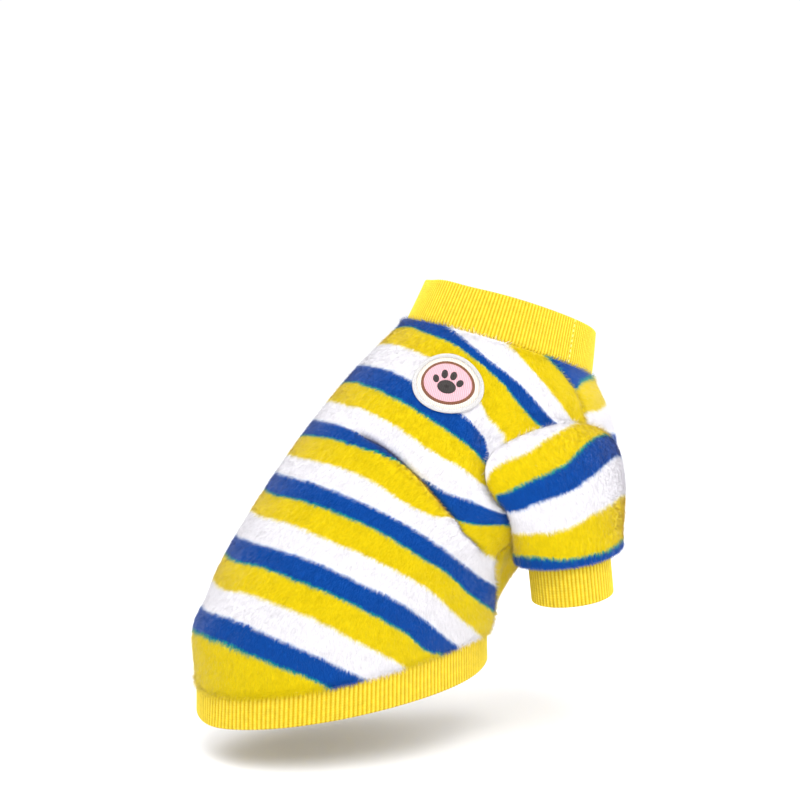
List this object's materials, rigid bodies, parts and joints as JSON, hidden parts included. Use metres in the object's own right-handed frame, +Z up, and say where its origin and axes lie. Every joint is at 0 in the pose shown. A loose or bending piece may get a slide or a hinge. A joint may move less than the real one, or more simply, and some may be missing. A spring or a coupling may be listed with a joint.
{
  "type": "pet fleece pullover",
  "caption": "Hollow striped plush-fleece pullover for a small pet, with short sleeves, rib-knit collar, cuffs and hem band, and a round embroidered patch, in its worn shape.",
  "frame": {"origin": "point on the spine line at the neck seam, where the wearer's withers carry the garment", "axes": "+Z up, -Y the way the wearer faces, -X the wearer's right side, X = 0 the middle plane; the wearer sits, so the back slopes down towards +Y"},
  "size_m": [0.168, 0.2399, 0.2164],
  "materials": {
    "back_panel": "plush fleece, dyed in blue, white and yellow stripes",
    "chest_panel": "plush fleece, dyed in blue, white and yellow stripes",
    "sleeve_right": "plush fleece, dyed in blue, white and yellow stripes",
    "sleeve_left": "plush fleece, dyed in blue, white and yellow stripes",
    "cuff_right": "yellow rib knit",
    "cuff_left": "yellow rib knit",
    "collar": "yellow rib knit",
    "hem_band": "yellow rib knit",
    "patch": "embroidered twill with an overcast white border"
  },
  "bodies": {
    "root": {"back_panel": "back_panel", "chest_panel": "chest_panel", "sleeve_right": "sleeve_right", "sleeve_left": "sleeve_left", "cuff_right": "cuff_right", "cuff_left": "cuff_left", "collar": "collar", "hem_band": "hem_band", "patch": "patch"}
  },
  "joints": []
}
